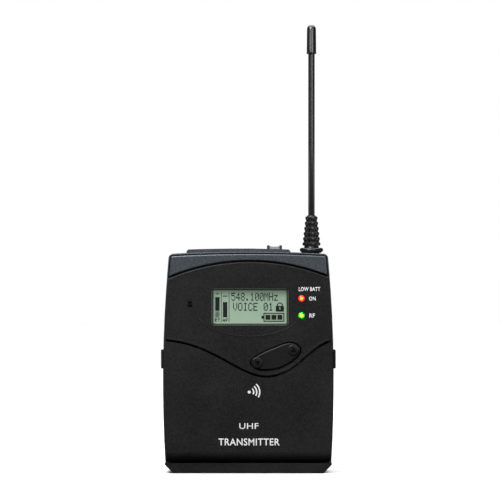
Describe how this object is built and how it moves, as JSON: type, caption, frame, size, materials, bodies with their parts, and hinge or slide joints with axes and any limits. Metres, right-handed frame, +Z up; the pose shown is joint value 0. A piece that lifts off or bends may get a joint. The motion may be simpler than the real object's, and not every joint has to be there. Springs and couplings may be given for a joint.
{
  "type": "wireless bodypack transmitter",
  "caption": "Belt-worn wireless microphone transmitter with a display, rocker key, hinged battery cover, mute slider, whip antenna and wire belt clip.",
  "frame": {"origin": "middle of the flat bottom that the case stands on", "axes": "+Z up along the antenna, the front with the display faces -Y, +X to the right as seen from the front"},
  "size_m": [0.0638, 0.0324, 0.1642],
  "materials": {
    "slate_paint": "satin dark blue-grey paint, fine texture",
    "black_plastic": "finely grained moulded black",
    "inner_plastic": "plain moulded black",
    "key_rubber": "satin black key",
    "clear_window": "clear gloss",
    "display": "grey-green display behind glass",
    "red_lens": "lit red lens",
    "green_lens": "lit green lens",
    "infrared": "dark clear plastic",
    "circuit_board": "green solder mask",
    "plated_steel": "bright plated",
    "collar_metal": "satin nickel",
    "black_steel": "black coated spring steel",
    "gold_contact": "gold flash",
    "antenna_rubber": "matte black rubber",
    "cell_wrap": "printed sleeve on a metal can"
  },
  "bodies": {
    "case": {"rear_shell": "slate_paint", "top_lid": "slate_paint", "front_panel": "black_plastic", "connector_plate": "slate_paint", "inner_frame": "inner_plastic", "main_board": "circuit_board", "shield_can": "plated_steel", "display_window": "clear_window", "display_glass": "display", "display_holder": "inner_plastic", "red_light_lens": "red_lens", "green_light_lens": "green_lens", "red_light_chip": "red_lens", "green_light_chip": "green_lens", "infrared_window": "infrared", "rocker_pin": "plated_steel", "up_switch": "plated_steel", "down_switch": "plated_steel", "set_switch": "plated_steel", "power_switch": "plated_steel", "mute_switch": "plated_steel", "audio_jack": "inner_plastic", "jack_collar": "collar_metal", "antenna_base": "antenna_rubber", "antenna_boot": "antenna_rubber", "battery_tray": "inner_plastic", "battery_upper": "cell_wrap", "battery_lower": "cell_wrap", "contact_bridge": "plated_steel", "contact_tab_upper": "plated_steel", "contact_tab_lower": "plated_steel", "contact_spring_upper": "plated_steel", "contact_spring_lower": "plated_steel", "left_hinge_pin": "plated_steel", "right_hinge_pin": "plated_steel", "case_screw_1": "black_steel", "case_screw_2": "black_steel", "case_screw_3": "black_steel", "case_screw_4": "black_steel", "charge_contact_1": "gold_contact", "charge_contact_2": "gold_contact"},
    "battery_cover": {"battery_cover": "black_plastic", "left_catch_spring": "plated_steel", "right_catch_spring": "plated_steel"},
    "left_catch": {"left_catch": "black_plastic"},
    "right_catch": {"right_catch": "black_plastic"},
    "rocker_key": {"rocker_key": "key_rubber"},
    "set_button": {"set_button": "key_rubber"},
    "power_button": {"power_button": "key_rubber"},
    "mute_slider": {"mute_slider": "slate_paint"},
    "belt_clip": {"belt_clip": "black_steel"},
    "antenna": {"antenna_rod": "antenna_rubber", "antenna_tip": "antenna_rubber"}
  },
  "joints": [
    {"name": "battery_cover_hinge", "type": "hinge", "parent": "case", "child": "battery_cover", "pos_m": [0, -0.0083, 0.0078], "axis": [1, 0, 0], "range_deg": [0, 95]},
    {"name": "left_catch_slide", "type": "slide", "parent": "battery_cover", "child": "left_catch", "axis": [1, 0, 0], "range_m": [0, 0.0012], "stiffness_N_per_m": 1500, "springref_m": -0.0004, "deforming": ["left_catch_spring"]},
    {"name": "right_catch_slide", "type": "slide", "parent": "battery_cover", "child": "right_catch", "axis": [-1, 0, 0], "range_m": [0, 0.0012], "stiffness_N_per_m": 1500, "springref_m": -0.0004, "deforming": ["right_catch_spring"]},
    {"name": "rocker_key_tilt", "type": "hinge", "parent": "case", "child": "rocker_key", "pos_m": [0.0098, -0.0088, 0.0427], "axis": [-0.3289, 0, 0.9444], "range_deg": [-3.5, 3.5], "stiffness_Nm_per_rad": 0.08},
    {"name": "set_button_press", "type": "slide", "parent": "case", "child": "set_button", "axis": [0, 1, 0], "range_m": [0, 0.0005], "stiffness_N_per_m": 1500, "springref_m": -0.0003},
    {"name": "power_button_press", "type": "slide", "parent": "case", "child": "power_button", "axis": [0, 1, 0], "range_m": [0, 0.0005], "stiffness_N_per_m": 1500, "springref_m": -0.0003},
    {"name": "mute_slide", "type": "slide", "parent": "case", "child": "mute_slider", "axis": [-1, 0, 0], "range_m": [0, 0.003]},
    {"name": "belt_clip_swing", "type": "hinge", "parent": "case", "child": "belt_clip", "pos_m": [0, 0.0145, 0.0651], "axis": [1, 0, 0], "range_deg": [0, 25], "stiffness_Nm_per_rad": 0.6, "springref_deg": -5.73},
    {"name": "antenna_bend", "type": "hinge", "parent": "case", "child": "antenna", "pos_m": [0.0232, 0.0005, 0.08843], "axis": [0, 1, 0], "range_deg": [-25, 25], "stiffness_Nm_per_rad": 0.05, "deforming": ["antenna_boot"]}
  ]
}
